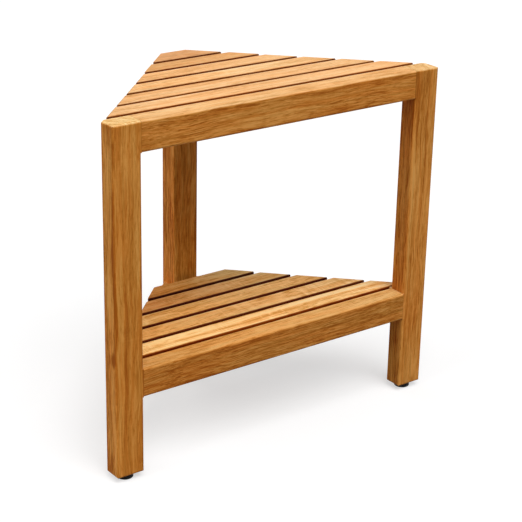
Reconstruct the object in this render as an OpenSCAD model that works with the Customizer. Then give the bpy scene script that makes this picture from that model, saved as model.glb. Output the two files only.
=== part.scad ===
// Corner stool in solid teak: a slatted three-sided seat and a slatted shelf on three legs.
// Lengths are in millimetres. X runs along the front, Y goes back into the corner, Z is up.
// Plan positions are worked out with the front faces at y = 0, and placed() centres the depth.

/* [Overall] */
// Width along the front, over both front legs
width = 493.5; // [470:0.5:520]
// Height of the seat top above the floor
height = 457; // [420:1:500]
// Height of the shelf top above the floor
shelf_top = 147; // [125:1:240]
// Width of the short back edge of the seat, in the corner
back_edge = 35.2; // [30:0.2:38]

/* [Legs] */
// Width of each leg along the front
leg_w = 38.5; // [36:0.5:42]
// Depth of each leg, front to back
leg_d = 30; // [28:0.5:34]
// Size of the 45 degree chamfers on the rear arrises of the front legs
leg_chamfer = 5.5; // [4:0.5:7]
// Distance from the back edge of the seat in to the rear leg
rear_inset = 3; // [0:0.5:5]
// Rounding of the arrises of the legs and front rails
arris_r = 3; // [2:0.25:5]

/* [Rails] */
// Height of the front rails
rail_h = 38; // [34:0.5:44]
// Distance from the legs' back faces in to the back of the shelf's front rail
shelf_rail_setback = 2.5; // [0:0.5:4]
// Height of the side rails and the middle batten under the boards
side_rail_h = 24; // [20:0.5:26]
// Thickness of the side rails
side_rail_t = 14; // [12:0.5:16]
// Distance from the ends of the seat boards in to the side rails
rail_inset = 5; // [4:0.25:7]
// Width of the batten under the middle of the seat
batten_w = 20; // [16:0.5:30]

/* [Boards] */
// Extra width of the last seat board over the others
last_board_extra = 5.8; // [0:0.2:10]
// Thickness of the boards
board_t = 12; // [10.5:0.25:13]
// Gap between the seat boards
seat_gap = 4.4; // [3:0.1:6]
// Gap between the last shelf board and the rear leg
shelf_back_gap = 9.1; // [4:0.1:12]
// Distance from the walls in to the ends of the seat boards
end_inset = 1.7; // [0:0.1:3]
// Distance that the ends of the shelf boards stay further in than the seat's
shelf_end_inset = 1.5; // [0:0.1:3]
// Rounding of the boards' long arrises and ends
board_r = 2; // [1:0.25:3]
// Width of the flat on the pointed tips of the boards
board_tip = 2; // [1:0.25:4]

/* [Dowels] */
// Diameter of the dowels
dowel_d = 8; // [6:0.25:9]
// Length of the dowels that join the front rails to the legs
rail_dowel_l = 36; // [30:1:40]
// Distance between the two dowels at each end of a front rail
dowel_pitch = 22; // [19:0.5:23]
// Length of the dowels at the ends of the side rails and the batten
side_dowel_l = 24; // [18:1:25]
// Length of the dowels between the rear leg and the last seat board
corner_dowel_l = 16; // [12:0.5:17]
// Distance between the two dowels on top of the rear leg
corner_dowel_pitch = 16; // [14:0.5:18]
// Glue room around a dowel, on the radius
dowel_fit = 0.05; // [0.02:0.01:0.15]
// Room beyond each end of a dowel
dowel_end_room = 0.5; // [0.2:0.1:1]

/* [Screws] */
// Shank diameter of the screws that hold the boards from below
screw_d = 4; // [3.5:0.1:5]
// Diameter of the countersunk screw heads
screw_head_d = 8; // [7:0.1:9]
// Depth that the screws go into the boards
screw_bite = 8; // [6:0.25:9]
// Room around a screw, on the radius
screw_fit = 0.1; // [0.05:0.01:0.2]

/* [Feet] */
// Diameter of the foot pads
pad_d = 21; // [18:0.5:26]
// Height of the foot pads, which is the gap under the legs with the feet screwed in
pad_h = 7.5; // [5:0.25:9]
// Thickness of the pad under the stud's flange
pad_floor = 1.5; // [1:0.1:2]
// Diameter of the hole under the pad that the key goes through
pad_hole_d = 6; // [5:0.25:8]
// Diameter of the levelling studs
stud_d = 8; // [6:0.25:9]
// Length of the studs above the pads
stud_l = 28; // [22:1:36]
// Thread pitch of the studs
stud_pitch = 1.25; // [1:0.25:2]
// Thread depth of the studs
thread_depth = 0.6; // [0.3:0.05:0.8]
// Diameter of the flange that the pad holds the stud by
flange_d = 14; // [12:0.25:16]
// Thickness of the flange
flange_t = 2.4; // [1.8:0.1:2.6]
// Size of the hexagon socket in the flange, across the flats
key_size = 4; // [3:0.5:5]
// Depth of the hexagon socket
key_depth = 1.8; // [1:0.1:2.5]
// Outer diameter of the threaded inserts in the legs
insert_d = 12; // [11:0.25:14]
// Length of the threaded inserts
insert_l = 15; // [12:0.5:20]
// Running clearance of the foot parts, on the radius and along the stud
foot_fit = 0.05; // [0.02:0.01:0.1]
// Room around and above the stud inside the leg
stud_room = 1; // [0.5:0.1:2]

/* [Hidden] */

$fn = 48;
LEFT = -1;
MIDDLE = 0;
RIGHT = 1;
SEAT_BOARDS = 6;
SHELF_BOARDS = 5;
// Cuts run past the faces that they open by this much
over = 0.5;

// The walls of a square corner are the two planes where |x| + y has one value.
// The front legs' outer chamfers lie on them, and the boards' ends and side rails run parallel.
wall_sum = width / 2 + leg_d - leg_chamfer;
end_sum = wall_sum - end_inset * sqrt(2);
shelf_end_sum = end_sum - shelf_end_inset * sqrt(2);
rail_out_sum = end_sum - rail_inset * sqrt(2);
rail_in_sum = rail_out_sum - side_rail_t * sqrt(2);
rail_mid_sum = (rail_out_sum + rail_in_sum) / 2;

depth = end_sum - back_edge / 2;
inner_x = width / 2 - leg_w;
leg_x = width / 2 - leg_w / 2;
rear_y = depth - rear_inset - leg_d;
rear_back_y = depth - rear_inset;
// The ends of the chamfers are rounded less than the legs' arrises
chamfer_r = leg_chamfer / 2;
leg_z = pad_h;
seat_under = height - board_t;
shelf_under = shelf_top - board_t;
shelf_rail_d = leg_d - shelf_rail_setback;
// The seat boards share the depth behind the front rail, and the shelf has boards of the same width
board_w = (depth - leg_d - last_board_extra) / SEAT_BOARDS - seat_gap;
shelf_end_y = rear_y - shelf_back_gap;
shelf_gap = (shelf_end_y - shelf_rail_d) / SHELF_BOARDS - board_w;
screw_l = side_rail_h + screw_bite;
screw_head_h = (screw_head_d - screw_d) / 2;
flange_z = pad_floor + foot_fit;
stem_z = flange_z + flange_t;
stud_top = pad_h + stud_l;

function seat_y0(k) = leg_d + seat_gap + (k - 1) * (board_w + seat_gap);
function seat_y1(k) = seat_y0(k) + board_w + (k < SEAT_BOARDS ? 0 : last_board_extra);
function shelf_y0(k) = shelf_rail_d + shelf_gap + (k - 1) * (board_w + shelf_gap);
function shelf_y1(k) = shelf_y0(k) + board_w;
function seat_screw_y(k) = (seat_y0(k) + seat_y1(k)) / 2;
function shelf_screw_y(k) = (shelf_y0(k) + shelf_y1(k)) / 2;
// Where a screw in a board at depth y meets the left rail, the batten or the right rail
function screw_x(side, y) = side * (rail_mid_sum - y);

// Moves a piece from the front-face datum to the middle of the depth
module placed() {
    translate([0, -depth / 2, 0]) children();
}

// Copies a right-hand piece to the given side
module on_side(side) {
    mirror([side == LEFT ? 1 : 0, 0, 0]) children();
}

// What a rounding takes off a square corner at the origin. The wood lies towards sx, sy.
module corner_waste(sx, sy, r) {
    difference() {
        translate([sx > 0 ? -over : -r, sy > 0 ? -over : -r]) square(r + over);
        translate([sx * r, sy * r]) circle(r);
    }
}

// Waste along an arris parallel to X, Y or Z
module arris_x(x0, x1, y, z, sy, sz, r) {
    translate([x0, y, z]) rotate([90, 0, 90]) linear_extrude(x1 - x0) corner_waste(sy, sz, r);
}

module arris_y(x, y0, y1, z, sx, sz, r) {
    translate([x, y1, z]) rotate([90, 0, 0]) linear_extrude(y1 - y0) corner_waste(sx, sz, r);
}

module arris_z(x, y, z0, z1, sx, sy, r) {
    translate([x, y, z0]) linear_extrude(z1 - z0) corner_waste(sx, sy, r);
}

// Waste along an arris that runs from a point at 135 degrees, with the wood inside and below
module arris_diagonal(x, y, z, sz, r) {
    translate([x, y, z]) rotate([0, 0, 135]) arris_x(-width / 2, width / 2, 0, 0, 1, sz, r);
}

// Waste of the chamfer that faces the right wall, on the plane where x + y is plane_sum
module wall_chamfer(plane_sum, x, z0, z1) {
    translate([x, plane_sum - x, z0]) rotate([0, 0, 45])
        translate([0, -width / 2, 0]) cube([width / 2, width, z1 - z0]);
}

// Bar along X with all four long arrises rounded
module bar_x(x0, x1, y0, y1, z0, z1, r) {
    difference() {
        translate([x0, y0, z0]) cube([x1 - x0, y1 - y0, z1 - z0]);
        for (sy = [-1, 1])
            for (sz = [-1, 1])
                arris_x(x0 - over, x1 + over, sy > 0 ? y0 : y1, sz > 0 ? z0 : z1, sy, sz, r);
    }
}

// Places children, drawn along +Z and centred on the joint, at each joint of the frame
module at_rail_dowels(side, rail_d, rail_top) {
    for (s = [-0.5, 0.5])
        translate([side * inner_x, rail_d / 2, rail_top - rail_h / 2 + s * dowel_pitch])
            rotate([0, 90, 0]) children();
}

module at_side_dowels(side, under) {
    on_side(side) {
        translate([rail_mid_sum - leg_d, leg_d, under - side_rail_h / 2])
            rotate([0, 0, 135]) rotate([0, 90, 0]) children();
        translate([leg_w / 2, rail_mid_sum - leg_w / 2, under - side_rail_h / 2])
            rotate([0, 0, 135]) rotate([0, 90, 0]) children();
    }
}

module at_batten_dowels() {
    for (y = [leg_d, rear_y])
        translate([0, y, seat_under - side_rail_h / 2]) rotate([90, 0, 0]) children();
}

module at_corner_dowels() {
    for (s = [-0.5, 0.5])
        translate([s * corner_dowel_pitch, rear_y + leg_d / 2, seat_under]) children();
}

module at_seat_screws(side, boards = [1 : SEAT_BOARDS - 1]) {
    for (k = boards)
        translate([screw_x(side, seat_screw_y(k)), seat_screw_y(k), seat_under - side_rail_h]) children();
}

module at_shelf_screws(side, boards = [1 : SHELF_BOARDS]) {
    for (k = boards)
        translate([screw_x(side, shelf_screw_y(k)), shelf_screw_y(k), shelf_under - side_rail_h]) children();
}

module dowel(l) {
    cylinder(d = dowel_d, h = l, center = true);
}

module dowel_hole(l) {
    cylinder(r = dowel_d / 2 + dowel_fit, h = l + 2 * dowel_end_room, center = true);
}

module screw() {
    r = screw_d / 2;
    difference() {
        rotate_extrude() polygon([
            [0, 0], [screw_head_d / 2, 0], [r, screw_head_h],
            [r, screw_l - screw_d], [0, screw_l]
        ]);
        translate([0, 0, -over]) cylinder(d = screw_d * 0.7, h = screw_head_h * 0.8 + over, $fn = 6);
    }
}

module screw_hole() {
    translate([0, 0, -over]) cylinder(r = screw_d / 2 + screw_fit, h = screw_l + screw_fit + over);
    cylinder(r1 = screw_head_d / 2 + screw_fit, r2 = screw_d / 2 + screw_fit, h = screw_head_h);
}

// Holes that a leg's foot needs, up from the leg's end
module foot_holes() {
    translate([0, 0, leg_z - over]) cylinder(r = insert_d / 2 + dowel_fit, h = insert_l + over);
    translate([0, 0, leg_z]) cylinder(r = stud_d / 2 + stud_room, h = stud_l + stud_room);
}

// Right front leg: its inner arrises are left square where the rails meet it
module front_leg() {
    x1 = width / 2;
    free_spans = [[leg_z - over, shelf_top - rail_h], [shelf_top, height - rail_h]];
    difference() {
        difference() {
            translate([inner_x, 0, leg_z]) cube([leg_w, leg_d, height - leg_z]);
            wall_chamfer(wall_sum, x1, leg_z - over, height + over);
            for (z = free_spans) across_leg() wall_chamfer(wall_sum, x1, z[0], z[1]);
        }
        arris_z(x1, 0, leg_z - over, height + over, -1, 1, arris_r);
        for (z = free_spans) arris_z(inner_x, 0, z[0], z[1], 1, 1, arris_r);
        arris_x(inner_x - over, x1 + over, 0, height, 1, -1, arris_r);
        arris_x(inner_x - over, x1 + over, leg_d, height, -1, -1, arris_r);
        arris_y(x1, -over, leg_d + over, height, -1, -1, arris_r);
        arris_diagonal(x1, leg_d - leg_chamfer, height, -1, chamfer_r);
        arris_diagonal(x1, leg_d - leg_chamfer, leg_z, 1, chamfer_r);
        across_leg() arris_diagonal(x1, leg_d - leg_chamfer, leg_z, 1, chamfer_r);
        leg_end_arrises(inner_x, x1, 0, leg_d);
        at_rail_dowels(RIGHT, leg_d, height) dowel_hole(rail_dowel_l);
        at_rail_dowels(RIGHT, shelf_rail_d, shelf_top) dowel_hole(rail_dowel_l);
        at_side_dowels(RIGHT, seat_under) dowel_hole(side_dowel_l);
        at_side_dowels(RIGHT, shelf_under) dowel_hole(side_dowel_l);
        translate([leg_x, leg_d / 2, 0]) foot_holes();
    }
}

// Moves what is drawn for the outer side of the right front leg to its inner side
module across_leg() {
    translate([2 * leg_x, 0, 0]) mirror([1, 0, 0]) children();
}

// Rounding around the lower end of a leg
module leg_end_arrises(x0, x1, y0, y1) {
    arris_x(x0 - over, x1 + over, y0, leg_z, 1, 1, arris_r);
    arris_x(x0 - over, x1 + over, y1, leg_z, -1, 1, arris_r);
    arris_y(x0, y0 - over, y1 + over, leg_z, 1, 1, arris_r);
    arris_y(x1, y0 - over, y1 + over, leg_z, -1, 1, arris_r);
}

// The rear leg ends under the last seat board
module rear_leg() {
    x1 = leg_w / 2;
    color("#a86a2c") placed() difference() {
        translate([-x1, rear_y, leg_z]) cube([leg_w, leg_d, seat_under - leg_z]);
        for (side = [LEFT, RIGHT]) {
            on_side(side) {
                arris_z(x1, rear_y, leg_z - over, height, -1, 1, arris_r);
                arris_z(x1, rear_back_y, leg_z - over, height, -1, -1, arris_r);
            }
            at_side_dowels(side, seat_under) dowel_hole(side_dowel_l);
            at_side_dowels(side, shelf_under) dowel_hole(side_dowel_l);
        }
        leg_end_arrises(-x1, x1, rear_y, rear_back_y);
        at_batten_dowels() dowel_hole(side_dowel_l);
        at_corner_dowels() dowel_hole(corner_dowel_l);
        translate([0, rear_y + leg_d / 2, 0]) foot_holes();
    }
}

module front_left_leg() {
    color("#b87a35") placed() on_side(LEFT) front_leg();
}

module front_right_leg() {
    color("#b0702f") placed() on_side(RIGHT) front_leg();
}

// Front rail between the two front legs, with its top and its face flush with theirs
module front_rail(rail_d, rail_top) {
    difference() {
        bar_x(-inner_x, inner_x, 0, rail_d, rail_top - rail_h, rail_top, arris_r);
        at_rail_dowels(LEFT, rail_d, rail_top) dowel_hole(rail_dowel_l);
        at_rail_dowels(RIGHT, rail_d, rail_top) dowel_hole(rail_dowel_l);
    }
}

module seat_front_rail() {
    color("#a8662a") placed() difference() {
        front_rail(leg_d, height);
        at_batten_dowels() dowel_hole(side_dowel_l);
    }
}

module shelf_front_rail() {
    color("#a8662a") placed() front_rail(shelf_rail_d, shelf_top);
}

// Right side rail, from the back face of the front leg to the side face of the rear leg
module side_rail(under) {
    difference() {
        translate([0, 0, under - side_rail_h]) linear_extrude(side_rail_h) polygon([
            [rail_in_sum - leg_d, leg_d], [rail_out_sum - leg_d, leg_d],
            [leg_w / 2, rail_out_sum - leg_w / 2], [leg_w / 2, rail_in_sum - leg_w / 2]
        ]);
        arris_diagonal(rail_out_sum, 0, under - side_rail_h, 1, board_r);
        at_side_dowels(RIGHT, under) dowel_hole(side_dowel_l);
    }
}

module seat_side_rail(side) {
    color("#9c5f28") placed() difference() {
        on_side(side) side_rail(seat_under);
        at_seat_screws(side) screw_hole();
    }
}

module shelf_side_rail(side) {
    color("#9c5f28") placed() difference() {
        on_side(side) side_rail(shelf_under);
        at_shelf_screws(side) screw_hole();
    }
}

module seat_batten() {
    color("#9c5f28") placed() difference() {
        translate([-batten_w / 2, leg_d, seat_under - side_rail_h])
            cube([batten_w, rear_y - leg_d, side_rail_h]);
        for (s = [-1, 1])
            arris_y(s * batten_w / 2, leg_d - over, rear_y + over, seat_under - side_rail_h,
                -s, 1, board_r);
        at_seat_screws(MIDDLE) screw_hole();
        at_batten_dowels() dowel_hole(side_dowel_l);
    }
}

// Board from y0 to y1, its ends cut parallel to the walls on the plane sum and their tips blunted
module board(y0, y1, top, plane_sum) {
    tip_x = plane_sum - y0 - board_tip;
    difference() {
        intersection() {
            bar_x(-width / 2, width / 2, y0, y1, top - board_t, top, board_r);
            translate([0, 0, top - board_t - over]) linear_extrude(board_t + 2 * over) polygon([
                [-tip_x, y0 - over], [tip_x, y0 - over], [tip_x, y0 + board_tip],
                [plane_sum - y1 - over, y1 + over], [y1 + over - plane_sum, y1 + over],
                [-tip_x, y0 + board_tip]
            ]);
        }
        for (side = [LEFT, RIGHT])
            on_side(side) arris_diagonal(plane_sum, 0, top, -1, board_r);
    }
}

module seat_board(k) {
    color(k % 2 == 0 ? "#e0a468" : "#eab27a") placed() difference() {
        board(seat_y0(k), seat_y1(k), height, end_sum);
        if (k < SEAT_BOARDS)
            for (side = [LEFT, MIDDLE, RIGHT])
                at_seat_screws(side, [k]) screw_hole();
        else
            at_corner_dowels() dowel_hole(corner_dowel_l);
    }
}

module shelf_board(k) {
    color(k % 2 == 0 ? "#dba060" : "#e8b06c") placed() difference() {
        board(shelf_y0(k), shelf_y1(k), shelf_top, shelf_end_sum);
        for (side = [LEFT, RIGHT])
            at_shelf_screws(side, [k]) screw_hole();
    }
}

module seat_rail_dowels() {
    color("#d8b98a") placed()
        for (side = [LEFT, RIGHT]) at_rail_dowels(side, leg_d, height) dowel(rail_dowel_l);
}

module shelf_rail_dowels() {
    color("#d8b98a") placed()
        for (side = [LEFT, RIGHT]) at_rail_dowels(side, shelf_rail_d, shelf_top) dowel(rail_dowel_l);
}

module seat_side_dowels() {
    color("#d8b98a") placed()
        for (side = [LEFT, RIGHT]) at_side_dowels(side, seat_under) dowel(side_dowel_l);
}

module shelf_side_dowels() {
    color("#d8b98a") placed()
        for (side = [LEFT, RIGHT]) at_side_dowels(side, shelf_under) dowel(side_dowel_l);
}

module batten_dowels() {
    color("#d8b98a") placed() at_batten_dowels() dowel(side_dowel_l);
}

module corner_dowels() {
    color("#d8b98a") placed() at_corner_dowels() dowel(corner_dowel_l);
}

module seat_screws() {
    color("silver") placed()
        for (side = [LEFT, MIDDLE, RIGHT]) at_seat_screws(side) screw();
}

module shelf_screws() {
    color("silver") placed()
        for (side = [LEFT, RIGHT]) at_shelf_screws(side) screw();
}

// Threaded insert, flush with the end of the leg
module foot_insert() {
    color("goldenrod") translate([0, 0, leg_z]) difference() {
        cylinder(d = insert_d, h = insert_l);
        translate([0, 0, -over]) cylinder(r = stud_d / 2 + foot_fit, h = insert_l + 2 * over);
    }
}

// Levelling stud with its flange, its thread drawn as rings of the same pitch
module foot_stud() {
    r = stud_d / 2;
    rings = floor((stud_top - stem_z - stud_pitch) / stud_pitch);
    thread = [for (i = [0 : rings - 1]) each [
        [r, stem_z + (i + 0.7) * stud_pitch],
        [r - thread_depth, stem_z + (i + 1) * stud_pitch],
        [r, stem_z + (i + 1.3) * stud_pitch]
    ]];
    color("silver") difference() {
        rotate_extrude() polygon(concat(
            [[0, flange_z], [flange_d / 2, flange_z], [flange_d / 2, stem_z], [r, stem_z]],
            thread,
            [[r, stud_top - thread_depth], [r - thread_depth, stud_top], [0, stud_top]]
        ));
        translate([0, 0, flange_z - over])
            cylinder(d = key_size / cos(30), h = key_depth + over, $fn = 6);
    }
}

// Foot pad, closed over the stud's flange, with a hole below for the key
module foot_pad() {
    r = pad_d / 2;
    ease = pad_floor / 2;
    hole_r = pad_hole_d / 2;
    room_r = flange_d / 2 + foot_fit;
    neck_r = stud_d / 2 + stud_room / 2;
    color("#1c1c1c") rotate_extrude() polygon([
        [hole_r, 0], [r - ease, 0], [r, ease], [r, pad_h - ease], [r - ease, pad_h],
        [neck_r, pad_h], [neck_r, stem_z + foot_fit], [room_r, stem_z + foot_fit],
        [room_r, pad_floor], [hole_r, pad_floor]
    ]);
}

module at_front_foot(side) {
    placed() translate([side * leg_x, leg_d / 2, 0]) children();
}

module at_rear_foot() {
    placed() translate([0, rear_y + leg_d / 2, 0]) children();
}

front_left_leg();
front_right_leg();
rear_leg();
seat_front_rail();
seat_side_rail(LEFT);  // seat_left_rail
seat_side_rail(RIGHT);  // seat_right_rail
seat_batten();
for (k = [1 : SEAT_BOARDS])
    seat_board(k);
shelf_front_rail();
shelf_side_rail(LEFT);  // shelf_left_rail
shelf_side_rail(RIGHT);  // shelf_right_rail
for (k = [1 : SHELF_BOARDS])
    shelf_board(k);
seat_rail_dowels();
shelf_rail_dowels();
seat_side_dowels();
shelf_side_dowels();
batten_dowels();
corner_dowels();
seat_screws();
shelf_screws();
at_front_foot(LEFT) foot_insert();  // left_insert
at_front_foot(RIGHT) foot_insert();  // right_insert
at_rear_foot() foot_insert();  // rear_insert
at_front_foot(LEFT) foot_stud();  // left_stud
at_front_foot(RIGHT) foot_stud();  // right_stud
at_rear_foot() foot_stud();  // rear_stud
at_front_foot(LEFT) foot_pad();  // left_pad
at_front_foot(RIGHT) foot_pad();  // right_pad
at_rear_foot() foot_pad();  // rear_pad
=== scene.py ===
"""Teak corner stool: looks, light and the photograph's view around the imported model."""
import math
from collections import namedtuple
from random import Random

import bpy
from mathutils import Matrix, Vector


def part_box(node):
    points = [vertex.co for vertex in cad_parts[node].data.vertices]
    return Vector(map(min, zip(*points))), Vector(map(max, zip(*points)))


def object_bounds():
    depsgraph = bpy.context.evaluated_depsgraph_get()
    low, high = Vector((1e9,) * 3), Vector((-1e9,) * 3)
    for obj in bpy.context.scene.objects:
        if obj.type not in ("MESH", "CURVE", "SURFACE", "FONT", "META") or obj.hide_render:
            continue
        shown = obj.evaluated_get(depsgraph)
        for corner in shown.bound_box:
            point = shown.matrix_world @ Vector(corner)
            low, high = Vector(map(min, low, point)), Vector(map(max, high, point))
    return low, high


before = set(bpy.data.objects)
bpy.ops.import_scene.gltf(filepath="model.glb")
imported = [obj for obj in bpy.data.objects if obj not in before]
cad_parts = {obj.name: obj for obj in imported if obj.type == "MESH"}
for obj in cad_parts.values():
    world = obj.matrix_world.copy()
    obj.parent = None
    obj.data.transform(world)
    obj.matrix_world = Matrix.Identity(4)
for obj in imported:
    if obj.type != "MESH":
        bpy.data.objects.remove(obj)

cad_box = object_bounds()

# Camera, from the calibration of the photograph. Metres, degrees and pixels.
PHOTO_SIZE = 522
FOCAL_PX = 1551.8
SENSOR = 36.0
CAM_AZIMUTH, CAM_ELEVATION, CAM_ROLL = 37.022, 21.615, 1.225
CAM_DISTANCE = 2.0614
CAM_TARGET = Vector((0.0405, -0.02562, 0.1991))
CAM_NEAR, CAM_FAR = 0.05, 60.0

# Softboxes: degrees left of the front, degrees up, degrees across, and strength
SOFTBOXES = {
    "key": (9.0, 60.0, 46.0, 2.36),
    "side": (97.0, 40.0, 40.0, 0.82),
    "back": (172.0, 14.0, 50.0, 0.55),
}
# Light from all round, and the white that is seen there
AMBIENT = 0.16
WHITE = 1.0
# How much light the floor throws back on the stool, how pale and bright it looks itself, and its half side
FLOOR_BOUNCE = 0.2
FLOOR_SEEN = 0.50
FLOOR_GLOW = 0.56
FLOOR_HALF = 12.0

# Wood tones, linear: dark line, body and light band, on upright faces and on the tops.
# The top tones are paler and less saturated as painted light, for the tops' sheen and stronger light;
# the shelf has top tones of its own as painted shade, for the seat's shade over it
UPRIGHT = ((0.40, 0.106, 0.007), (0.64, 0.226, 0.029), (0.86, 0.380, 0.078))
SEAT_TOP = ((0.61, 0.275, 0.070), (0.86, 0.450, 0.165), (0.98, 0.580, 0.250))
SHELF_TOP = ((0.60, 0.255, 0.050), (0.86, 0.450, 0.160), (0.98, 0.600, 0.280))
# Where these three lie on the figure's scale, and that scale's middle
TONE_PLACES = (0.12, 0.5, 0.88)
MIDDLE = 0.5
# Tints of the yellower and the redder streaks, where one turns into the other, and the patches' share
YELLOWER, REDDER = (0.985, 1.045, 1.08), (1.025, 0.93, 0.80)
HUE_SPREAD = (0.55, 0.95)
HUE_PATCHES = 0.50
# Tint that darkens the boards' end faces: partly the end grain's own tone, partly painted shade
END_GRAIN_AND_SHADE = (0.52, 0.46, 0.38)
# Dark line where a rail meets a leg: its tone, width and strength
JOINT_TONE, JOINT_WIDTH, JOINT_DARK = (0.10, 0.035, 0.01), 0.0007, 0.55

# The wood's gloss and roughness, and how far the figure and the fibres change the roughness
GLOSS = 0.07
ROUGH, ROUGH_BY_FIGURE, ROUGH_BY_FIBRES = 0.52, -0.10, 0.22
# Relief of the surface: how deep the pores and how high the fibres are beside the figure
PORE_HEIGHT, FIBRE_HEIGHT = -0.8, 0.5
RELIEF_STRENGTH, RELIEF_HEIGHT = 0.28, 0.00028

# The share of the normal along the grain, upwards or sideways at which one kind of face starts to turn
# into the next and at which it has done so, and how long the boards' arrises take to turn into the gaps
END_ON = (0.6, 0.8)
TOP_FACES = (0.30, 0.80)
CHEEK_FACES = (0.35, 0.90)
BOARD_ENDS = (0.03, 0.35)
ARRIS_FROM_SIDE, ARRIS_TO_TOP = (0.10, 0.45), (0.99, 0.75)
GAP_FADE = 0.35
# How much lighter the round arrises that turn towards the top are made: a painted highlight
ARRIS_HIGHLIGHT = 0.10
# The part of a mark's half size that has its full strength
MARK_CORE = 0.2

# Noise layers: squeeze of space along and across the grain, scale per metre, detail, roughness, distortion
Layer = namedtuple("Layer", "along across scale detail rough distortion", defaults=(0.0,))
LAYERS = {
    "wander": Layer(1.0, 0.4, 9.0, 1.0, 0.5),
    "bend": Layer(1.0, 4.0, 5.0, 3.0, 0.55),
    "ripple": Layer(1.0, 5.0, 38.0, 2.0, 0.5),
    "ring_room": Layer(0.25, 1.0, 32.0, 1.0, 0.5),
    "streaks": Layer(0.045, 1.0, 85.0, 3.0, 0.6),
    "strands": Layer(0.03, 1.0, 290.0, 3.0, 0.8),
    "fibres": Layer(0.035, 1.0, 1100.0, 3.0, 0.65),
    "patches": Layer(0.25, 1.0, 26.0, 3.0, 0.5),
    "pores": Layer(0.055, 1.0, 1500.0, 1.0, 0.5),
    "dashes": Layer(0.11, 1.0, 620.0, 2.0, 0.6),
    "dash_room": Layer(0.5, 1.0, 36.0, 1.0, 0.5),
    "rays": Layer(1.0, 0.16, 380.0, 2.0, 0.5, 0.5),
    "ray_room": Layer(1.0, 1.0, 22.0, 1.0, 0.5),
    "curl": Layer(1.0, 0.14, 150.0, 2.0, 0.6),
    "curl_room": Layer(1.0, 1.0, 14.0, 1.0, 0.5),
    "hue_streaks": Layer(0.05, 1.0, 170.0, 3.0, 0.6),
    "hue_patches": Layer(0.3, 1.0, 22.0, 2.0, 0.5),
}
# Where a layer shows: the noise at which it is weakest and at which it is full, and what is left of it
ROOMS = {
    "ring_room": (0.38, 0.62, 0.15), "dash_room": (0.35, 0.65, 0.40),
    "ray_room": (0.42, 0.62, 0.20), "curl_room": (0.35, 0.60, 0.15),
}
# The same for the pores, which keep out of the dark late wood
PORE_ROOM = (0.7, 0.0, 0.25)
# The noise at which a speck starts and is full
SPECKS = {"pores": (0.60, 0.70), "dashes": (0.48, 0.68), "rays": (0.50, 0.66)}
# The mean of each layer, so that a stronger one makes no piece lighter or darker
MEANS = {
    "streaks": 0.5, "strands": 0.5, "fibres": 0.5, "patches": 0.5,
    "pores": 0.06, "dashes": 0.22, "rays": 0.2, "curl": 0.0,
}
DARK_LAYERS = ("pores", "dashes")
# Metres by which the grain wanders sideways and the rings bend and ripple
WANDER, RING_BEND, RING_RIPPLE = 0.010, 0.030, 0.0028
# Unevenness of the rings in ring widths, how often it changes per metre, and broad bands per ring
RING_UNEVEN, UNEVEN_SCALE, BROAD_BANDS = 2.2, 60.0, 0.55
# Detail and roughness of the noise for both
BAND_DETAIL, BAND_ROUGH = 2.0, 0.6
# Where in a ring the late wood darkens and where it stops, its mean, and how dark it is
LATE_START, LATE_STOP = (0.15, 0.90), (1.0, 0.90)
LATE_MEAN, LATE_DEPTH = 0.35, -0.45
# On end grain the layers are calmer and the rings clearer
END_CALM, END_RINGS = 0.55, 0.45

# Strengths of the figure's layers, and how much stronger it is on faces that don't look along Y
Figure = namedtuple("Figure", "bands streaks strands fibres patches pores dashes rays curl beside")
LEG_FIGURE = Figure(0.35, 0.80, 0.95, 0.80, 0.55, 0.25, 0.22, 0.04, 0.0, 0.60)
BUSY_LEG_FIGURE = Figure(0.45, 1.15, 1.35, 1.20, 0.70, 0.25, 0.25, 0.04, 0.0, 0.40)
RAIL_FIGURE = Figure(0.25, 0.85, 1.30, 1.25, 0.60, 0.35, 0.38, 0.05, 0.0, 0.0)
SHELF_RAIL_FIGURE = Figure(0.22, 0.60, 1.50, 1.80, 0.50, 0.45, 0.36, 0.04, 0.0, 0.35)
SEAT_FIGURE = Figure(0.28, 0.60, 1.15, 1.35, 0.75, 0.30, 0.28, 0.20, 0.0, 0.0)
SHELF_FIGURE = Figure(0.55, 0.95, 1.55, 1.60, 0.90, 0.30, 0.45, 0.30, 0.0, 0.0)
CURLY_FIGURE = Figure(0.35, 0.75, 1.45, 1.50, 0.70, 0.30, 0.45, 0.20, 1.50, 0.0)

# How each kind of piece lies: along X, upright, or along a wall of the corner
GRAIN_AXIS = Vector((1.0, 0.0, 0.0))
ALONG_X = Matrix.Identity(3)
UPRIGHT_GRAIN = Matrix(((0, 0, 1), (1, 0, 0), (0, 1, 0)))
ALONG_Y = Matrix(((0, 1, 0), (-1, 0, 0), (0, 0, 1)))
ALONG_RIGHT_WALL = Matrix.Rotation(math.radians(45), 3, "Z")
ALONG_LEFT_WALL = Matrix.Rotation(math.radians(-45), 3, "Z")

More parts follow.
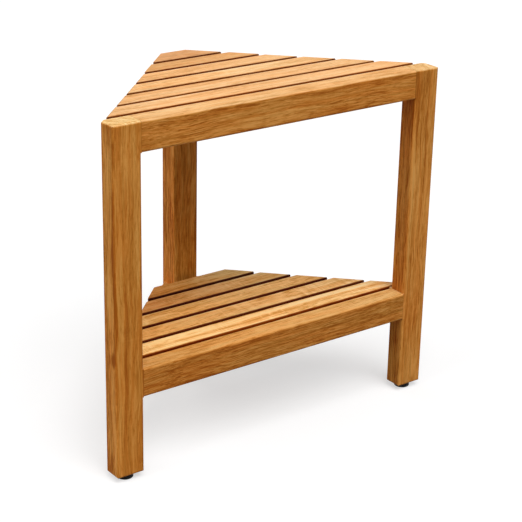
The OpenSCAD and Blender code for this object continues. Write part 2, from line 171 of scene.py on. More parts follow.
# How the grain lies, the heart's place across it, how the heart leans, the ring width in metres, the
# figure, and gains of red, green and blue on the upright faces and on the tops
Wood = namedtuple("Wood", "turn heart lean ring figure upright top")
WOODS = {
    "front_left_leg": Wood(UPRIGHT_GRAIN, (-0.070, -0.050), (0.020, 0.008), 0.0052, LEG_FIGURE,
                           (1.01, 1.03, 1.13), (1.07, 1.22, 1.34)),
    "front_right_leg": Wood(UPRIGHT_GRAIN, (0.085, -0.040), (-0.012, 0.010), 0.0056, BUSY_LEG_FIGURE,
                            (0.98, 1.02, 1.22), (1.00, 1.13, 1.28)),
    # Painted shade: the rear leg's upright gains make its faces paler and greyer, as its front face looks in
    # the seat's shade
    "rear_leg": Wood(UPRIGHT_GRAIN, (0.050, -0.075), (0.010, -0.012), 0.0048, BUSY_LEG_FIGURE,
                     (1.00, 1.17, 1.36), (1.01, 0.98, 0.96)),
    "seat_front_rail": Wood(ALONG_X, (0.120, 0.020), (0.010, 0.015), 0.0042, RAIL_FIGURE,
                            (1.02, 1.05, 1.25), (0.98, 1.00, 1.07)),
    "shelf_front_rail": Wood(ALONG_X, (0.095, -0.030), (-0.012, 0.010), 0.0045, SHELF_RAIL_FIGURE,
                             (0.87, 0.89, 0.98), (0.82, 0.74, 0.53)),
    "seat_left_rail": Wood(ALONG_LEFT_WALL, (0.06, 0.04), (0.01, 0.01), 0.0045, RAIL_FIGURE,
                           (0.96, 0.94, 0.93), (0.96, 0.94, 0.93)),
    "seat_right_rail": Wood(ALONG_RIGHT_WALL, (0.05, 0.06), (0.02, 0.01), 0.0050, RAIL_FIGURE,
                            (0.97, 0.97, 0.97), (0.95, 0.95, 0.95)),
    "seat_batten": Wood(ALONG_Y, (0.05, 0.05), (0.01, 0.02), 0.0048, RAIL_FIGURE,
                        (0.95, 0.95, 0.95), (0.95, 0.95, 0.95)),
    "shelf_left_rail": Wood(ALONG_LEFT_WALL, (0.07, 0.03), (0.02, 0.01), 0.0050, RAIL_FIGURE,
                            (0.95, 0.95, 0.95), (0.95, 0.95, 0.95)),
    "shelf_right_rail": Wood(ALONG_RIGHT_WALL, (0.04, 0.05), (0.01, 0.02), 0.0045, RAIL_FIGURE,
                             (0.98, 0.96, 0.95), (0.96, 0.94, 0.93)),
    "seat_board_1": Wood(ALONG_X, (0.030, -0.080), (0.012, 0.020), 0.0050, SEAT_FIGURE,
                         (0.99, 1.02, 1.04), (1.05, 1.08, 1.27)),
    "seat_board_2": Wood(ALONG_X, (-0.045, -0.060), (0.010, -0.015), 0.0046, SEAT_FIGURE,
                         (0.99, 1.01, 1.02), (1.03, 1.05, 1.21)),
    "seat_board_3": Wood(ALONG_X, (0.015, -0.090), (-0.014, 0.020), 0.0054, SEAT_FIGURE,
                         (0.99, 1.02, 1.04), (1.07, 1.11, 1.28)),
    "seat_board_4": Wood(ALONG_X, (-0.030, -0.050), (0.020, 0.012), 0.0044, SEAT_FIGURE,
                         (0.99, 1.01, 1.03), (1.06, 1.07, 1.23)),
    "seat_board_5": Wood(ALONG_X, (0.060, -0.050), (0.015, 0.012), 0.0048, SEAT_FIGURE,
                         (1.01, 0.98, 0.96), (0.86, 0.82, 0.82)),
    "seat_board_6": Wood(ALONG_X, (0.010, -0.060), (0.012, 0.018), 0.0050, SEAT_FIGURE,
                         (1.04, 0.94, 0.88), (0.82, 0.77, 0.86)),
    # Painted shade: the shelf boards' top gains grow darker and more saturated from the front board to the
    # rear one, for the seat's shade over the shelf
    "shelf_board_1": Wood(ALONG_X, (0.090, -0.012), (0.010, 0.012), 0.0070, SHELF_FIGURE,
                          (0.99, 1.01, 1.02), (1.10, 1.13, 1.16)),
    "shelf_board_2": Wood(ALONG_X, (0.004, -0.040), (0.030, 0.020), 0.0056, CURLY_FIGURE,
                          (1.02, 0.96, 0.92), (0.95, 0.90, 0.82)),
    "shelf_board_3": Wood(ALONG_X, (-0.020, -0.060), (0.012, 0.022), 0.0050, SHELF_FIGURE,
                          (1.04, 0.94, 0.88), (0.93, 0.90, 0.76)),
    "shelf_board_4": Wood(ALONG_X, (0.050, -0.050), (0.014, 0.020), 0.0048, SHELF_FIGURE,
                          (1.06, 0.90, 0.80), (0.84, 0.83, 0.70)),
    "shelf_board_5": Wood(ALONG_X, (-0.040, -0.045), (0.010, 0.016), 0.0046, SHELF_FIGURE,
                          (1.08, 0.86, 0.72), (0.79, 0.73, 0.56)),
}
# Each piece's figure lies elsewhere in the noise, drawn at random within this distance in metres
FIGURE_SEED, FIGURE_SPREAD = 41, 40
# Dowels: their wood is paler, the same all round, and DOWELS says how they lie
DOWEL_GAINS = (1.12, 1.20, 1.35)
DOWEL_HEART, DOWEL_LEAN, DOWEL_RING = (0.05, 0.05), (0.01, 0.01), 0.003
DOWELS = {
    "seat_rail_dowels": ALONG_X, "shelf_rail_dowels": ALONG_X, "seat_side_dowels": ALONG_RIGHT_WALL,
    "shelf_side_dowels": ALONG_RIGHT_WALL, "batten_dowels": ALONG_Y, "corner_dowels": UPRIGHT_GRAIN,
}
# Rails whose ends meet the legs' flush faces
BUTT_JOINTED = ("seat_front_rail", "shelf_front_rail")
# Painted shade in the gaps: the tone of a board's long faces there, and how far round its arris that starts
GAP_SHADES = {
    "seat_board_1": ((0.26, 0.12, 0.02), 0.36), "seat_board_2": ((0.26, 0.12, 0.02), 0.36),
    "seat_board_3": ((0.20, 0.08, 0.01), 0.26), "seat_board_4": ((0.18, 0.07, 0.01), 0.20),
    "seat_board_5": ((0.17, 0.06, 0.01), 0.14), "seat_board_6": ((0.16, 0.06, 0.01), 0.12),
    "shelf_board_1": ((0.30, 0.12, 0.02), 0.32), "shelf_board_2": ((0.14, 0.045, 0.01), 0.20),
    "shelf_board_3": ((0.12, 0.035, 0.01), 0.18), "shelf_board_4": ((0.10, 0.03, 0.01), 0.14),
    "shelf_board_5": ((0.08, 0.025, 0.01), 0.10),
}
# Boards with no board behind them
LAST_BOARDS = ("seat_board_6", "shelf_board_5")
# Painted light on the pieces of the shelf: a warmer tint towards the left for the light bounced off the wood
# there, and a cooler tint towards the right for the white light from the open side
PAINTED_LIGHT_TINTS = {
    "shelf_front_rail": ((0.97, 0.89, 0.81), (1.03, 1.06, 1.17)),
    "shelf_board_1": ((1.03, 1.00, 0.91), (1.00, 1.05, 1.12)),
    "shelf_board_2": ((0.92, 0.86, 0.70), (1.06, 1.20, 1.40)),
    "shelf_board_3": ((1.01, 0.99, 0.95), (1.02, 1.11, 1.28)),
    "shelf_board_4": ((0.90, 0.66, 0.50), (1.02, 1.14, 1.36)),
    "shelf_board_5": ((0.91, 0.77, 0.58), (1.01, 1.22, 1.46)),
}
# The share of their length over which that tint changes
DRIFT_SHARE = 0.7
# Tint of the legs' faces that look left and right, as painted shade and light: on the right leg darker and
# redder for the seat's shade on its inner face, on the rear leg redder on its lit sides against its paler,
# greyer upright faces in shade
CHEEK_SHADE_AND_LIGHT = {"front_right_leg": (0.91, 0.84, 0.70), "rear_leg": (1.07, 0.84, 0.74)}
# Single streaks that the photograph shows, and painted highlights and painted shade along some arrises,
# faces and feet:
# middle and half sizes in metres, and strength
STREAKS_AND_PAINTED_LIGHT = {
    "front_left_leg": (
        ((-0.2462, -0.1240, 0.260), (0.0034, 0.0050, 0.230), -0.42),
        ((-0.2458, -0.1244, 0.424), (0.0016, 0.0016, 0.034), -0.50),
        ((-0.2468, -0.1200, 0.166), (0.0045, 0.0058, 0.015), -0.85),
        ((-0.2468, -0.1226, 0.235), (0.0030, 0.0020, 0.085), -0.55),
        ((-0.2462, -0.1222, 0.300), (0.0026, 0.0034, 0.034), -0.55),
        ((-0.2468, -0.1125, 0.016), (0.0060, 0.0180, 0.045), -0.36),
        ((-0.2468, -0.1125, 0.100), (0.0050, 0.0120, 0.080), -0.08),
        ((-0.2468, -0.1110, 0.240), (0.0040, 0.0075, 0.060), 0.42),
        ((-0.2468, -0.1090, 0.330), (0.0040, 0.0040, 0.060), 0.10),
        ((-0.2468, -0.1120, 0.412), (0.0040, 0.0130, 0.055), 0.30),
        ((-0.2430, -0.1256, 0.190), (0.0018, 0.0030, 0.150), 0.16),
        ((-0.2335, -0.1256, 0.200), (0.0040, 0.0050, 0.210), -0.16),
        ((-0.2260, -0.1256, 0.250), (0.0045, 0.0050, 0.220), 0.14),
        ((-0.2240, -0.1256, 0.420), (0.0180, 0.0060, 0.070), 0.24),
        ((-0.2145, -0.1256, 0.340), (0.0045, 0.0060, 0.120), 0.12),
        # Painted shade along the rear-left arris and the inner front arris, which turn away from the light
        ((-0.2467, -0.1010, 0.230), (0.0030, 0.0030, 0.260), -0.50),
        ((-0.2082, -0.1256, 0.230), (0.0030, 0.0030, 0.260), -0.40),
        # Painted shade at the foot's bottom edge
        ((-0.2275, -0.1106, 0.007), (0.0400, 0.0400, 0.0035), -0.45)),
    "front_right_leg": (
        # Painted highlight along the inner front arris
        ((0.2120, -0.1256, 0.300), (0.0028, 0.0060, 0.130), 0.22),
        ((0.2165, -0.1256, 0.370), (0.0022, 0.0050, 0.060), -0.26),
        ((0.2240, -0.1256, 0.285), (0.0040, 0.0050, 0.050), 0.14),
        ((0.2270, -0.1256, 0.440), (0.0200, 0.0060, 0.030), -0.12),
        ((0.2300, -0.1256, 0.040), (0.0200, 0.0060, 0.050), 0.12),
        # Painted shade on the inner face, under the seat
        ((0.2080, -0.1070, 0.300), (0.0050, 0.0080, 0.130), -0.14),
        ((0.2400, -0.1256, 0.120), (0.0035, 0.0050, 0.090), -0.12),
        # Painted shade along the outer front arris, which turns away from the light
        ((0.2467, -0.1256, 0.230), (0.0034, 0.0034, 0.260), -0.55),
        # Painted shade at the foot's bottom edge
        ((0.2275, -0.1106, 0.007), (0.0400, 0.0400, 0.0035), -0.45)),
    "rear_leg": (
        # Painted shade along the front-right arris, which turns away from the light
        ((0.0184, 0.0935, 0.280), (0.0045, 0.0045, 0.260), -0.75),
        ((-0.0193, 0.1050, 0.290), (0.0040, 0.0050, 0.020), 0.30),
        # Painted highlight along the front-left arris
        ((-0.0184, 0.0935, 0.250), (0.0014, 0.0014, 0.200), 0.70),
        ((-0.0193, 0.1000, 0.230), (0.0030, 0.0040, 0.120), -0.14),
        ((-0.0193, 0.1226, 0.280), (0.0030, 0.0040, 0.240), -0.30)),
    "seat_front_rail": (
        # Painted highlight along the top front arris
        ((0.000, -0.1247, 0.4561), (0.300, 0.0024, 0.0024), 0.25),
        ((0.000, -0.1256, 0.4560), (0.300, 0.006, 0.0120), -0.16),
        ((0.000, -0.1256, 0.4230), (0.300, 0.006, 0.0150), 0.14),
        ((-0.020, -0.1256, 0.4380), (0.130, 0.006, 0.0180), 0.08),
        ((-0.075, -0.1256, 0.4515), (0.045, 0.005, 0.0030), -0.25),
        ((0.055, -0.1256, 0.4500), (0.035, 0.005, 0.0035), -0.20),
        ((0.150, -0.1256, 0.4480), (0.075, 0.005, 0.0050), -0.15),
        # Painted shade along the bottom arris, which faces down
        ((0.000, -0.1256, 0.4190), (0.300, 0.003, 0.0028), -0.45),
        ((0.028, -0.1100, 0.4570), (0.026, 0.020, 0.0060), -0.22),
        ((0.165, -0.1100, 0.4570), (0.050, 0.020, 0.0060), -0.22),
        ((-0.150, -0.1100, 0.4570), (0.090, 0.020, 0.0060), 0.20),
        ((0.065, -0.1100, 0.4570), (0.022, 0.020, 0.0060), 0.18)),
    "shelf_front_rail": (
        # Painted highlight along the top front arris
        ((0.000, -0.1222, 0.1461), (0.300, 0.0024, 0.0024), 0.50),
        ((-0.080, -0.1231, 0.1400), (0.130, 0.004, 0.0035), -0.15),
        ((-0.180, -0.1231, 0.1280), (0.050, 0.004, 0.0200), -0.06),
        # Painted shade along the bottom arris, which faces down
        ((0.000, -0.1231, 0.1090), (0.300, 0.003, 0.0028), -0.45),
        ((0.060, -0.1231, 0.1180), (0.070, 0.004, 0.0050), 0.10)),
    "shelf_board_1": (
        ((0.000, -0.0690, 0.1470), (0.250, 0.0065, 0.006), 0.40),
        ((0.000, -0.0830, 0.1470), (0.260, 0.0080, 0.006), -0.10),
        ((0.030, -0.0790, 0.1470), (0.080, 0.0028, 0.006), -0.16),
        ((-0.110, -0.0830, 0.1470), (0.070, 0.0024, 0.006), -0.12)),
    "shelf_board_4": (
        ((0.000, 0.0350, 0.1470), (0.060, 0.0200, 0.006), 0.26),),
    "seat_board_6": (
        ((0.045, 0.1040, 0.4570), (0.035, 0.0300, 0.006), 0.18),),
}
# Metals: linear colour, roughness, and scale of the tool marks per metre
Metal = namedtuple("Metal", "colour rough mark_scale")
STEEL = Metal((0.62, 0.62, 0.60), 0.24, 900.0)
SCREW_STEEL = Metal((0.58, 0.57, 0.55), 0.30, 1200.0)
BRASS = Metal((0.72, 0.52, 0.22), 0.26, 900.0)
# Squeeze, detail and roughness of the tool marks, how much they roughen, and their relief
MARK_SQUEEZE, MARK_DETAIL, MARK_ROUGH = (0.15, 0.15, 1.0), 3.0, 0.6
ROUGH_BY_MARKS, METAL_RELIEF = 0.25, (0.15, 0.0001)
# Stains: scale, detail and roughness of the noise, where they start and are full, and how dark they are
STAINS, STAIN_SPREAD, STAIN_TONE = (220.0, 4.0, 0.6), (0.45, 0.75), 0.72
# Rubber: linear colours, clean and dusty, gloss, roughness, and its relief
RUBBER, DUSTY_RUBBER = (0.004, 0.004, 0.004), (0.012, 0.0115, 0.011)
RUBBER_GLOSS, RUBBER_ROUGH, RUBBER_RELIEF = 0.12, 0.55, (0.35, 0.00012)
# Its pebbles and dust: scale, detail and roughness of the noise, and how the dust spreads and roughens
PEBBLES, DUST, DUST_SPREAD, ROUGH_BY_DUST = (2600.0, 3.0, 0.6), (160.0, 4.0, 0.65), (0.42, 0.78), 0.25


class Graph:
    """Short calls that build the node tree of a material or of the world."""

    def __init__(self, owner):
        owner.use_nodes = True
        self.owner = owner
        self.tree = owner.node_tree
        self.tree.nodes.clear()

    def node(self, kind, **settings):
        made = self.tree.nodes.new(kind)
        for key, value in settings.items():
            setattr(made, key, value)
        return made

    def feed(self, socket, value):
        if isinstance(value, bpy.types.NodeSocket):
            self.tree.links.new(value, socket)
        else:
            socket.default_value = value

    def feed_all(self, node, *values):
        """Feeds a node's first inputs in turn, and gives back its outputs."""
        for socket, value in zip(node.inputs, values):
            self.feed(socket, value)
        return node.outputs

    def math(self, operation, *values, clamp=False):
        made = self.node("ShaderNodeMath", operation=operation, use_clamp=clamp)
        return self.feed_all(made, *values)[0]

    def vector(self, operation, *values):
        made = self.node("ShaderNodeVectorMath", operation=operation)
        gives_a_number = operation in ("LENGTH", "DOT_PRODUCT")
        return self.feed_all(made, *values)[1 if gives_a_number else 0]

    def split(self, vector):
        return self.feed_all(self.node("ShaderNodeSeparateXYZ"), vector)

    def step(self, value, low, high, to_low=0.0, to_high=1.0):
        made = self.node("ShaderNodeMapRange", interpolation_type="SMOOTHSTEP")
        return self.feed_all(made, value, low, high, to_low, to_high)[0]

    def noise(self, vector, scale, detail, rough, distortion=0.0, output=0):
        made = self.node("ShaderNodeTexNoise")
        self.feed(made.inputs["Vector"], vector)
        made.inputs["Scale"].default_value = scale
        made.inputs["Detail"].default_value = detail
        made.inputs["Roughness"].default_value = rough
        made.inputs["Distortion"].default_value = distortion
        return made.outputs[output]

    def noise_1d(self, value, scale):
        made = self.node("ShaderNodeTexNoise", noise_dimensions="1D")
        self.feed(made.inputs["W"], value)
        made.inputs["Scale"].default_value = scale
        made.inputs["Detail"].default_value = BAND_DETAIL
        made.inputs["Roughness"].default_value = BAND_ROUGH
        return made.outputs[0]

    def ramp(self, value, tones):
        """The three tones, at their places along the value."""
        made = self.node("ShaderNodeValToRGB")
        self.feed(made.inputs[0], value)
        elements = made.color_ramp.elements
        while len(elements) < len(tones):
            elements.new(1.0)
        for element, place, tone in zip(elements, TONE_PLACES, tones):
            element.position = place
            element.color = rgba(tone)
        return made.outputs[0]

    def mix(self, factor, a, b, blend="MIX"):
        """A mix of two colours, which are inputs 6 and 7 of the node and output 2."""
        made = self.node("ShaderNodeMix", data_type="RGBA", blend_type=blend)
        for index, value in ((0, factor), (6, a), (7, b)):
            self.feed(made.inputs[index], value)
        return made.outputs[2]

    def tinted(self, factor, colour, tint):
        return self.mix(factor, colour, tint, "MULTIPLY")

    def relief(self, height, strength, distance):
        made = self.node("ShaderNodeBump")
        made.inputs["Strength"].default_value = strength
        made.inputs["Distance"].default_value = distance
        self.feed(made.inputs["Height"], height)
        return made.outputs[0]

    def surface(self, **sockets):
        shader = self.node("ShaderNodeBsdfPrincipled")
        for name, value in sockets.items():
            self.feed(shader.inputs[name.replace("_", " ")], value)
        return self.finish("ShaderNodeOutputMaterial", shader.outputs[0])

    def finish(self, kind, shader):
        """Links the shader to the output, and gives back the material or the world."""
        self.feed(self.node(kind).inputs["Surface"], shader)
        return self.owner


class Teak(Graph):
    """Teak cut from a log, in the grain's frame: x along the grain, the origin in the piece's middle."""

    def __init__(self, name, centre, turn, seed):
        """turn takes the row frame to the grain's frame, and seed gives each piece a figure of its own."""
        super().__init__(bpy.data.materials.new(name))
        self.centre, self.turn = centre, turn
        self.place = self.node("ShaderNodeTexCoord").outputs["Object"]
        mapping = self.node("ShaderNodeMapping", vector_type="POINT")
        mapping.inputs["Rotation"].default_value = turn.to_euler()
        mapping.inputs["Location"].default_value = -(turn @ centre)
        self.feed(mapping.inputs["Vector"], self.place)
        self.grain = self.wandering(mapping.outputs[0], seed)
        self.apart = self.vector("ADD", self.grain, seed)
        self.x, self.y, self.z = self.split(self.grain)
        facing = self.node("ShaderNodeNewGeometry").outputs["Normal"]
        self.side, self.front, self.up = self.split(facing)
        end_on = self.vector("DOT_PRODUCT", facing, turn.transposed() @ GRAIN_AXIS)
        self.on_end = self.step(self.math("ABSOLUTE", end_on), *END_ON)

    def layer(self, kind):
        """One of the noise layers, in the piece's own space."""
        return self.layer_of(self.apart, kind)

    def layer_of(self, space, kind, output=0):
        along, across, *settings = LAYERS[kind]
        squeezed = self.vector("MULTIPLY", space, (along, across, across))
        return self.noise(squeezed, *settings, output)

    def wandering(self, straight, seed):
        """The grain's frame, shifted a little to the sides along the grain."""
        shift = self.layer_of(self.vector("ADD", straight, seed), "wander", "Color")
        shift = self.vector("SUBTRACT", shift, (MIDDLE, MIDDLE, MIDDLE))
        return self.vector("ADD", straight, self.vector("MULTIPLY", shift, (0.0, WANDER, WANDER)))

    def centred(self, kind, amount):
        return self.math("MULTIPLY", self.math("SUBTRACT", self.layer(kind), MIDDLE), amount)

    def room(self, kind):
        return self.step(self.layer(kind), *ROOMS[kind], 1.0)

    def specks(self, kind, room):
        return self.math("MULTIPLY", self.step(self.layer(kind), *SPECKS[kind]), room)

    def radius(self, heart, lean):
        """Distance from the log's heart, whose line leans, with the rings' bends and ripples."""
        dy = self.math("SUBTRACT", self.math("MULTIPLY_ADD", self.x, -lean[0], self.y), heart[0])
        dz = self.math("SUBTRACT", self.math("MULTIPLY_ADD", self.x, -lean[1], self.z), heart[1])
        square = self.math("ADD", self.math("MULTIPLY", dy, dy), self.math("MULTIPLY", dz, dz))
        bent = self.math("ADD", self.math("SQRT", square), self.centred("bend", RING_BEND))
        return self.math("ADD", bent, self.centred("ripple", RING_RIPPLE))

    def rings(self, radius, ring):
        """Light and dark of the rings and of broad bands, and the late wood that ends each ring."""
        uneven = self.noise_1d(radius, UNEVEN_SCALE)
        turns = self.math("MULTIPLY_ADD", uneven, RING_UNEVEN, self.math("DIVIDE", radius, ring))
        phase = self.math("FRACT", turns)
        late = self.math("MULTIPLY", self.step(phase, *LATE_START), self.step(phase, *LATE_STOP))
        lines = self.math("MULTIPLY", self.math("SUBTRACT", late, LATE_MEAN), self.room("ring_room"))
        broad = self.math("SUBTRACT", self.noise_1d(radius, BROAD_BANDS / ring), MIDDLE)
        return self.math("MULTIPLY_ADD", lines, LATE_DEPTH, broad), late

    def layers(self, late):
        """The figure's layers by name. The fibres and pores are kept for the relief as well."""
        layers = {kind: self.layer(kind) for kind in ("streaks", "strands", "fibres", "patches")}
        layers["pores"] = self.specks("pores", self.step(late, *PORE_ROOM, 1.0))
        layers["dashes"] = self.specks("dashes", self.room("dash_room"))
        layers["rays"] = self.specks("rays", self.room("ray_room"))
        layers["curl"] = self.math("MULTIPLY", self.centred("curl", 1.0), self.room("curl_room"))
        self.fibres, self.pores = layers["fibres"], layers["pores"]
        return layers

    def figured(self, figure, bands, late):
        """Light and dark of the whole figure, around the scale's middle."""
        calm = self.math("MULTIPLY_ADD", self.on_end, END_CALM - 1.0, 1.0)
        value = self.math("MULTIPLY", bands, self.math("MULTIPLY_ADD", self.on_end, END_RINGS, figure.bands))
        for kind, source in self.layers(late).items():
            strength = getattr(figure, kind) * (-1.0 if kind in DARK_LAYERS else 1.0)
            value = self.math(
                "MULTIPLY_ADD", self.math("SUBTRACT", source, MEANS[kind]),
                self.math("MULTIPLY", calm, strength), value)
        along_y = self.math("ABSOLUTE", self.front)
        gain = self.math("MULTIPLY_ADD", along_y, -figure.beside, 1.0 + figure.beside)
        return self.math("MULTIPLY_ADD", value, gain, MIDDLE)

    def marked(self, value, marks):
        """The figure with single light or dark streaks, and with painted highlights and painted shade along
        some arrises and faces, whose places and sizes are in the row frame.
        """
        for middle, half_size, strength in marks:
            offset = self.vector("SUBTRACT", self.turn @ (Vector(middle) - self.centre), self.grain)
            reach = [abs(size) for size in self.turn @ Vector(half_size)]
            away = self.vector("LENGTH", self.vector("DIVIDE", offset, reach))
            value = self.math("MULTIPLY_ADD", self.step(away, 1.0, MARK_CORE), strength, value)
        return value

    def with_arris_highlight(self, value):
        """The figure lighter on the round arrises that turn towards the top: a painted highlight."""
        above_side = self.step(self.math("ABSOLUTE", self.up), *ARRIS_FROM_SIDE)
        arris = self.math("MULTIPLY", above_side, self.step(self.up, *ARRIS_TO_TOP))
        return self.math("MULTIPLY_ADD", arris, ARRIS_HIGHLIGHT, value)

    def toned(self, value, upright, top):
        """The wood's colour, paler on top as painted light for the tops' sheen and stronger light, with
        streaks of redder and yellower wood.
        """
        painted_top_light = self.step(self.up, *TOP_FACES)
        colour = self.mix(painted_top_light, self.ramp(value, upright), self.ramp(value, top))
        patches = self.math("MULTIPLY", self.layer("hue_patches"), HUE_PATCHES)
        hue = self.step(self.math("ADD", self.layer("hue_streaks"), patches), *HUE_SPREAD)
        return self.tinted(1.0, colour, self.mix(hue, rgba(YELLOWER), rgba(REDDER)))

    def with_painted_light_tint(self, colour, left, right, span):
        """Tinted from the left to the right, over the span in the stool's middle: painted light, warmer
        towards the left and cooler towards the right.
        """
        across = self.math("MULTIPLY_ADD", self.split(self.place)[0], 1.0 / span, 0.5, clamp=True)
        return self.tinted(1.0, colour, self.mix(across, rgba(left), rgba(right)))

    def shade_and_light_on_cheeks(self, colour, tint):
        """Tinted on the faces that look left and right, as painted shade and light."""
        cheek = self.step(self.math("ABSOLUTE", self.side), *CHEEK_FACES)
        return self.tinted(cheek, colour, rgba(tint))

    def shaded_in_gaps(self, colour, tone, start, open_back):
        """A board darkened on its long faces in the gaps, as painted shade, and on its end faces, partly for
        the end grain's tone and partly as painted shade.
        The last board's rear face isn't darkened, since nothing stands behind it: open_back says so."""
        toward = self.math("MULTIPLY", self.front, -1.0) if open_back else self.math("ABSOLUTE", self.front)
        end = self.step(self.math("ABSOLUTE", self.side), *BOARD_ENDS)
        long_face = self.math("SUBTRACT", 1.0, end)
        gap_shade = self.math("MULTIPLY", self.step(toward, start, start + GAP_FADE), long_face)
        return self.tinted(end, self.tinted(gap_shade, colour, rgba(tone)), rgba(END_GRAIN_AND_SHADE))

    def at_joints(self, colour, half_length):
        """A thin dark line at both ends, where the piece meets the legs."""
        to_end = self.math("SUBTRACT", half_length, self.math("ABSOLUTE", self.x))
        line = self.step(to_end, JOINT_WIDTH, 0.0, 0.0, JOINT_DARK)
        return self.mix(line, colour, rgba(JOINT_TONE))

    def oiled(self, colour, value):
        """The finished material, with open pores and raised fibres."""
        height = self.math("MULTIPLY_ADD", self.fibres, FIBRE_HEIGHT, value)
        height = self.math("MULTIPLY_ADD", self.pores, PORE_HEIGHT, height)
        rough = self.math("MULTIPLY_ADD", value, ROUGH_BY_FIGURE, ROUGH)
        rough = self.math("MULTIPLY_ADD", self.fibres, ROUGH_BY_FIBRES, rough)
        return self.surface(
            Base_Color=colour, Roughness=rough, Specular_IOR_Level=GLOSS,
            Normal=self.relief(height, RELIEF_STRENGTH, RELIEF_HEIGHT))


def rgba(colour):
    return (*colour, 1.0)


def scaled(tones, gains):
    """The tones with red, green and blue made lighter or darker."""
    return [tuple(min(1.0, c * k) for c, k in zip(tone, gains)) for tone in tones]


def teak(kind, name, wood, top_tones, seed):
    """The material of the wooden node of that name."""
    low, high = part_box(name)
    length = high.x - low.x
    g = Teak(f"{kind}_{name}", (low + high) / 2, wood.turn, seed)
    bands, late = g.rings(g.radius(wood.heart, wood.lean), wood.ring)
    value = g.with_arris_highlight(g.marked(g.figured(wood.figure, bands, late), STREAKS_AND_PAINTED_LIGHT.get(name, ())))
    colour = g.toned(value, scaled(UPRIGHT, wood.upright), scaled(top_tones, wood.top))
    # Painted light and shade: the shelf's warm-to-cool tint, the legs' cheek tints, and the darkened gaps
    # and board ends
    if name in PAINTED_LIGHT_TINTS:
        colour = g.with_painted_light_tint(colour, *PAINTED_LIGHT_TINTS[name], DRIFT_SHARE * length)
    if name in CHEEK_SHADE_AND_LIGHT:
        colour = g.shade_and_light_on_cheeks(colour, CHEEK_SHADE_AND_LIGHT[name])
    if name in GAP_SHADES:
        colour = g.shaded_in_gaps(colour, *GAP_SHADES[name], name in LAST_BOARDS)
    if name in BUTT_JOINTED:
        colour = g.at_joints(colour, length / 2)
    return g.oiled(colour, value)


def turned_metal(name, metal):
    """Turned metal with fine tool marks around the axis and small stains."""
    g = Graph(bpy.data.materials.new(name))
    place = g.node("ShaderNodeTexCoord").outputs["Object"]
    squeezed = g.vector("MULTIPLY", place, MARK_SQUEEZE)
    marks = g.noise(squeezed, metal.mark_scale, MARK_DETAIL, MARK_ROUGH)
    stains = g.step(g.noise(place, *STAINS), *STAIN_SPREAD)
    stained = [c * STAIN_TONE for c in metal.colour]
    return g.surface(
        Base_Color=g.mix(stains, rgba(metal.colour), rgba(stained)), Metallic=1.0,
        Roughness=g.math("MULTIPLY_ADD", marks, ROUGH_BY_MARKS, metal.rough),
        Normal=g.relief(marks, *METAL_RELIEF))


def black_rubber(name):
    """Matt moulded rubber, dusty and scuffed."""
    g = Graph(bpy.data.materials.new(name))
    place = g.node("ShaderNodeTexCoord").outputs["Object"]
    pebbles = g.noise(place, *PEBBLES)
    dust = g.step(g.noise(place, *DUST), *DUST_SPREAD)
    return g.surface(
        Base_Color=g.mix(dust, rgba(RUBBER), rgba(DUSTY_RUBBER)),
        Roughness=g.math("MULTIPLY_ADD", dust, ROUGH_BY_DUST, RUBBER_ROUGH),
        Specular_IOR_Level=RUBBER_GLOSS, Normal=g.relief(pebbles, *RUBBER_RELIEF))


def dress(name, material):
    """Gives a CAD node its material."""
    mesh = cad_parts[name].data
    mesh.materials.clear()
    mesh.materials.append(material)


def dress_wood():
    rng = Random(FIGURE_SEED)

    def seed():
        return tuple(rng.uniform(-FIGURE_SPREAD, FIGURE_SPREAD) for _ in range(3))

    for name, wood in WOODS.items():
        # The shelf's top tones carry painted shade for the seat above it
        tops = SHELF_TOP if name.startswith("shelf") else SEAT_TOP
        dress(name, teak("teak", name, wood, tops, seed()))
    for name, turn in DOWELS.items():
        wood = Wood(turn, DOWEL_HEART, DOWEL_LEAN, DOWEL_RING, SEAT_FIGURE, DOWEL_GAINS, DOWEL_GAINS)
        dress(name, teak("dowel", name, wood, UPRIGHT, seed()))


def dress_hardware():
    steel = turned_metal("steel_turned", STEEL)
    screw_steel = turned_metal("steel_screws", SCREW_STEEL)
    brass = turned_metal("brass_turned", BRASS)
    rubber = black_rubber("rubber_foot")
    for name in ("seat_screws", "shelf_screws"):
        dress(name, screw_steel)
    for foot in ("left", "right", "rear"):
        dress(f"{foot}_stud", steel)
        dress(f"{foot}_insert", brass)
        dress(f"{foot}_pad", rubber)


def direction(azimuth, elevation):
    """From the stool towards a place, by degrees left of the front and degrees up."""
    a, e = math.radians(azimuth), math.radians(elevation)
    return Vector((-math.sin(a) * math.cos(e), -math.cos(a) * math.cos(e), math.sin(e)))


def add_object(name, data):
    made = bpy.data.objects.new(name, data)
    bpy.context.scene.collection.objects.link(made)
    return made


def add_camera():
    back = direction(CAM_AZIMUTH, CAM_ELEVATION)
    right = (-back).cross(Vector((0, 0, 1))).normalized()
    up = right.cross(-back)
    roll = math.radians(CAM_ROLL)
    turned_right = math.cos(roll) * right + math.sin(roll) * up
    turned_up = math.cos(roll) * up - math.sin(roll) * right
    data = bpy.data.cameras.new("photo_view")
    data.sensor_width = SENSOR
    data.lens = SENSOR * FOCAL_PX / PHOTO_SIZE
    data.clip_start, data.clip_end = CAM_NEAR, CAM_FAR
    matrix = Matrix((turned_right, turned_up, back)).transposed().to_4x4()
    matrix.translation = CAM_TARGET + back * CAM_DISTANCE
    camera = add_object("photo_view", data)
    camera.matrix_world = matrix
    bpy.context.scene.camera = camera


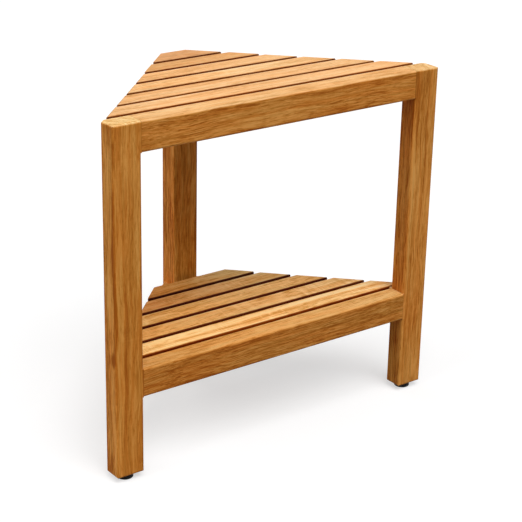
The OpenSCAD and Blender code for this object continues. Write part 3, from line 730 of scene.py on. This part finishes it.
def seen_directly(graph):
    """1 for rays that look at the surface, 0 for the light that bounces off it."""
    path = graph.node("ShaderNodeLightPath").outputs
    either = graph.math("MAXIMUM", path["Is Camera Ray"], path["Is Glossy Ray"])
    return graph.math("MAXIMUM", either, path["Is Transmission Ray"])


def diffuse(graph, level):
    made = graph.node("ShaderNodeBsdfDiffuse")
    made.inputs["Color"].default_value = (level, level, level, 1.0)
    return made.outputs[0]


def floor_material():
    """Nearly white to look at, with the stool's shadow, and clear from below."""
    g = Graph(bpy.data.materials.new("floor_white"))
    glow = g.node("ShaderNodeEmission")
    glow.inputs["Strength"].default_value = FLOOR_GLOW
    seen = g.feed_all(g.node("ShaderNodeAddShader"), diffuse(g, FLOOR_SEEN), glow.outputs[0])[0]
    above = g.feed_all(
        g.node("ShaderNodeMixShader"), seen_directly(g), diffuse(g, FLOOR_BOUNCE), seen)[0]
    from_below = g.node("ShaderNodeNewGeometry").outputs["Backfacing"]
    clear = g.node("ShaderNodeBsdfTransparent").outputs[0]
    both = g.feed_all(g.node("ShaderNodeMixShader"), from_below, above, clear)[0]
    return g.finish("ShaderNodeOutputMaterial", both)


def add_floor():
    h, z = FLOOR_HALF, cad_box[0][2]
    mesh = bpy.data.meshes.new("floor")
    mesh.from_pydata([(-h, -h, z), (h, -h, z), (h, h, z), (-h, h, z)], [], [(0, 1, 2, 3)])
    mesh.materials.append(floor_material())
    floor = add_object("floor", mesh)


def add_softboxes():
    for name, (azimuth, elevation, across, strength) in SOFTBOXES.items():
        data = bpy.data.lights.new(name, "SUN")
        data.energy = strength
        data.angle = math.radians(across)
        toward_light = direction(azimuth, elevation).to_track_quat("Z", "Y")
        add_object(name, data).rotation_euler = toward_light.to_euler()


def add_world():
    g = Graph(bpy.data.worlds.new("soft_white"))
    back = g.node("ShaderNodeBackground")
    back.inputs["Color"].default_value = (1.0, 1.0, 1.0, 1.0)
    level = g.math("MULTIPLY_ADD", seen_directly(g), WHITE - AMBIENT, AMBIENT)
    g.feed(back.inputs["Strength"], level)
    bpy.context.scene.world = g.finish("ShaderNodeOutputWorld", back.outputs[0])


bpy.context.scene.view_settings.view_transform = "Standard"
add_camera()
add_floor()
add_softboxes()
add_world()
dress_wood()
dress_hardware()
